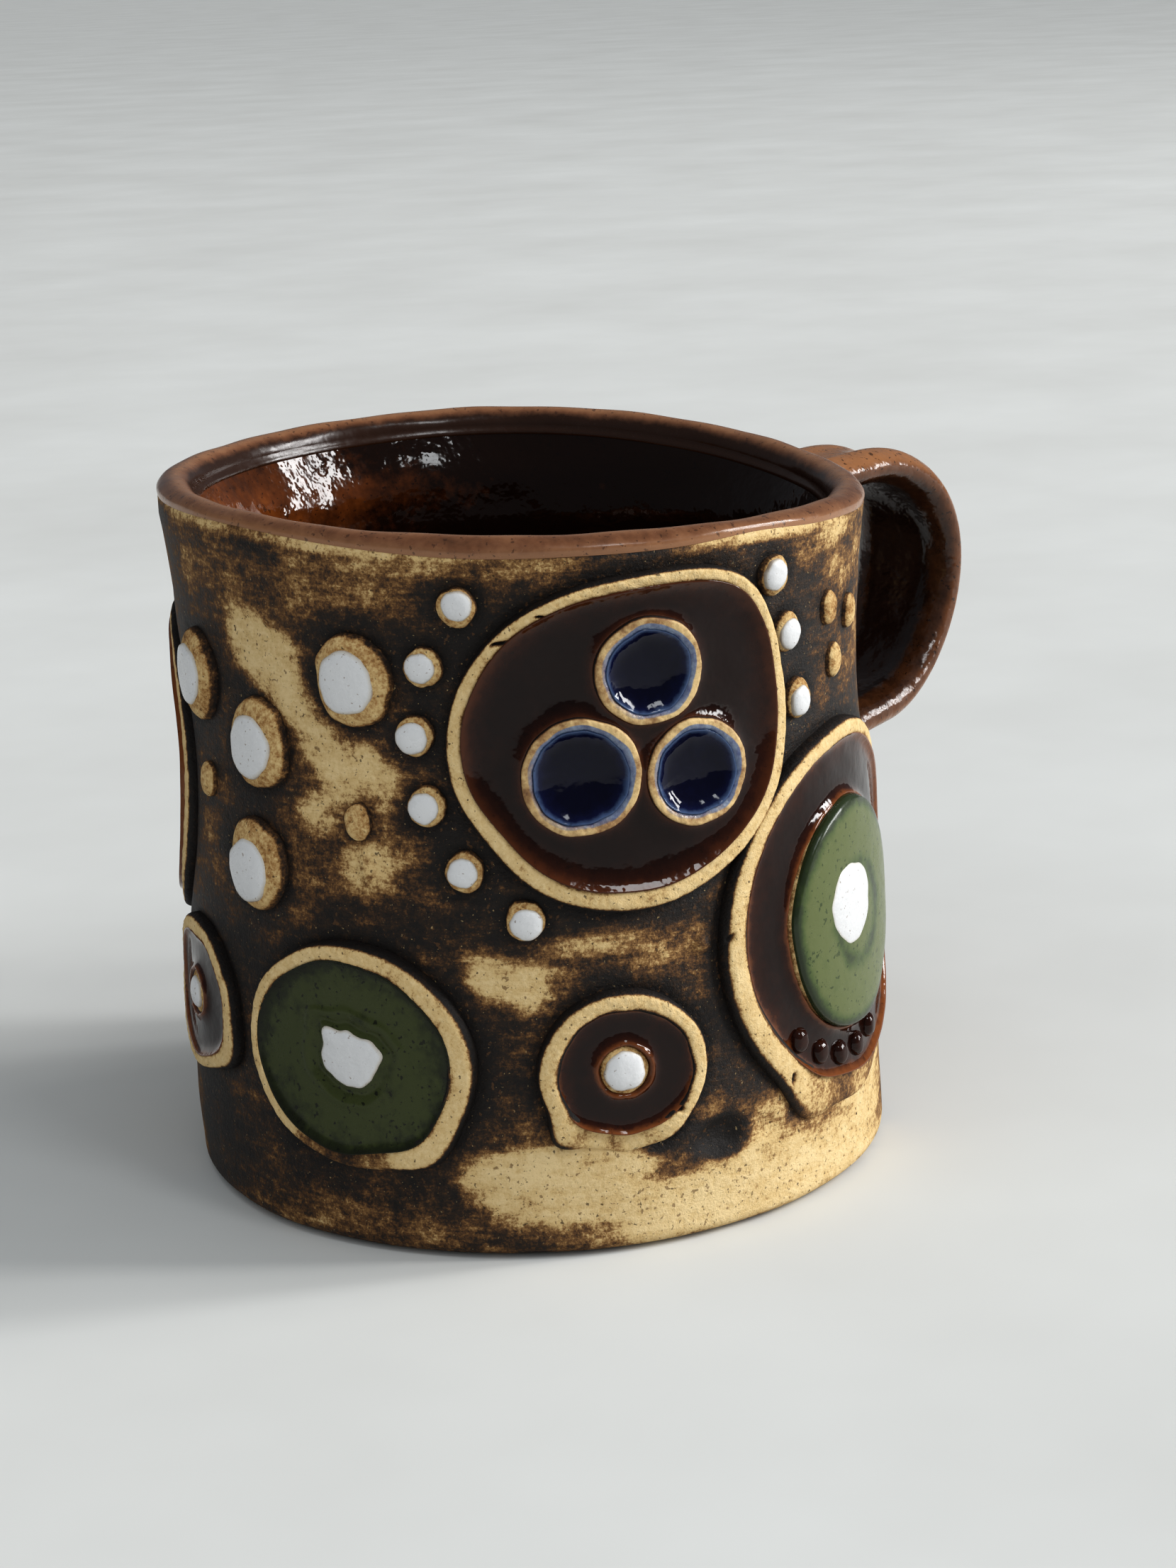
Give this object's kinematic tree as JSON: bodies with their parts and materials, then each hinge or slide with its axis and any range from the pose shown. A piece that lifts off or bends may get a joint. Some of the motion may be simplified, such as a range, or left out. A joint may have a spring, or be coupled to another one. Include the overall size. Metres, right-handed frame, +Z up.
{
  "type": "stoneware mug",
  "caption": "Hand-built stoneware mug with a strap handle, applied clay rings and pellets, and pooled glazes, for hot drinks.",
  "frame": {"origin": "middle of the flat base, on the table", "axes": "+Z up the mug's axis, +X out through the middle of the handle, +Y to the left of the handle seen from outside"},
  "size_m": [0.1338, 0.0901, 0.0864],
  "materials": {
    "wall_clay": "matte stoneware, black-brown wash wiped back to tan",
    "base_clay": "bare matte stoneware",
    "handle_glaze": "satin brown glaze that breaks amber on edges",
    "brown_glaze": "glossy brown glaze with amber and dark speckle",
    "dark_brown_glaze": "glossy near-black brown glaze, amber where thin",
    "relief_clay": "matte tan clay with dark specks",
    "cobalt_glaze": "glossy cobalt, blue-grey where thin",
    "dark_green_glaze": "glossy dark olive green",
    "pale_green_glaze": "satin pale green, mottled",
    "white_glaze": "satin white glaze with small pits",
    "brown_clay": "brown-stained clay, satin",
    "pellet_clay": "matte clay, tan on top and dark at the foot"
  },
  "bodies": {
    "root": {"wall_slab": "wall_clay", "base_slab": "base_clay", "handle_strap": "handle_glaze", "liner_glaze": "brown_glaze", "rim_glaze": "brown_glaze", "berry_ring": "relief_clay", "berry_field_glaze": "dark_brown_glaze", "berry_top_ring": "relief_clay", "berry_left_ring": "relief_clay", "berry_right_ring": "relief_clay", "berry_top_pool": "cobalt_glaze", "berry_left_pool": "cobalt_glaze", "berry_right_pool": "cobalt_glaze", "kiwi_ring": "relief_clay", "kiwi_band_glaze": "dark_brown_glaze", "kiwi_disc": "brown_clay", "kiwi_green_glaze": "pale_green_glaze", "kiwi_heart": "white_glaze", "kiwi_seeds": "brown_clay", "shield_ring": "relief_clay", "shield_pool": "dark_green_glaze", "shield_heart": "white_glaze", "eye_ring": "relief_clay", "eye_pool": "dark_brown_glaze", "eye_pellet": "pellet_clay", "eye_cap": "white_glaze", "bead_ring": "relief_clay", "bead_pool": "dark_brown_glaze", "bead_pellet": "pellet_clay", "bead_cap": "white_glaze", "moon_ring": "relief_clay", "moon_pool": "dark_brown_glaze", "back_ring": "relief_clay", "back_pool": "dark_brown_glaze", "back_pellet": "pellet_clay", "back_cap": "white_glaze", "arc_pellets": "pellet_clay", "arc_caps": "white_glaze", "row_pellets": "pellet_clay", "row_caps": "white_glaze", "button_pellets": "pellet_clay", "button_caps": "white_glaze", "bare_pellets": "pellet_clay"}
  },
  "joints": []
}
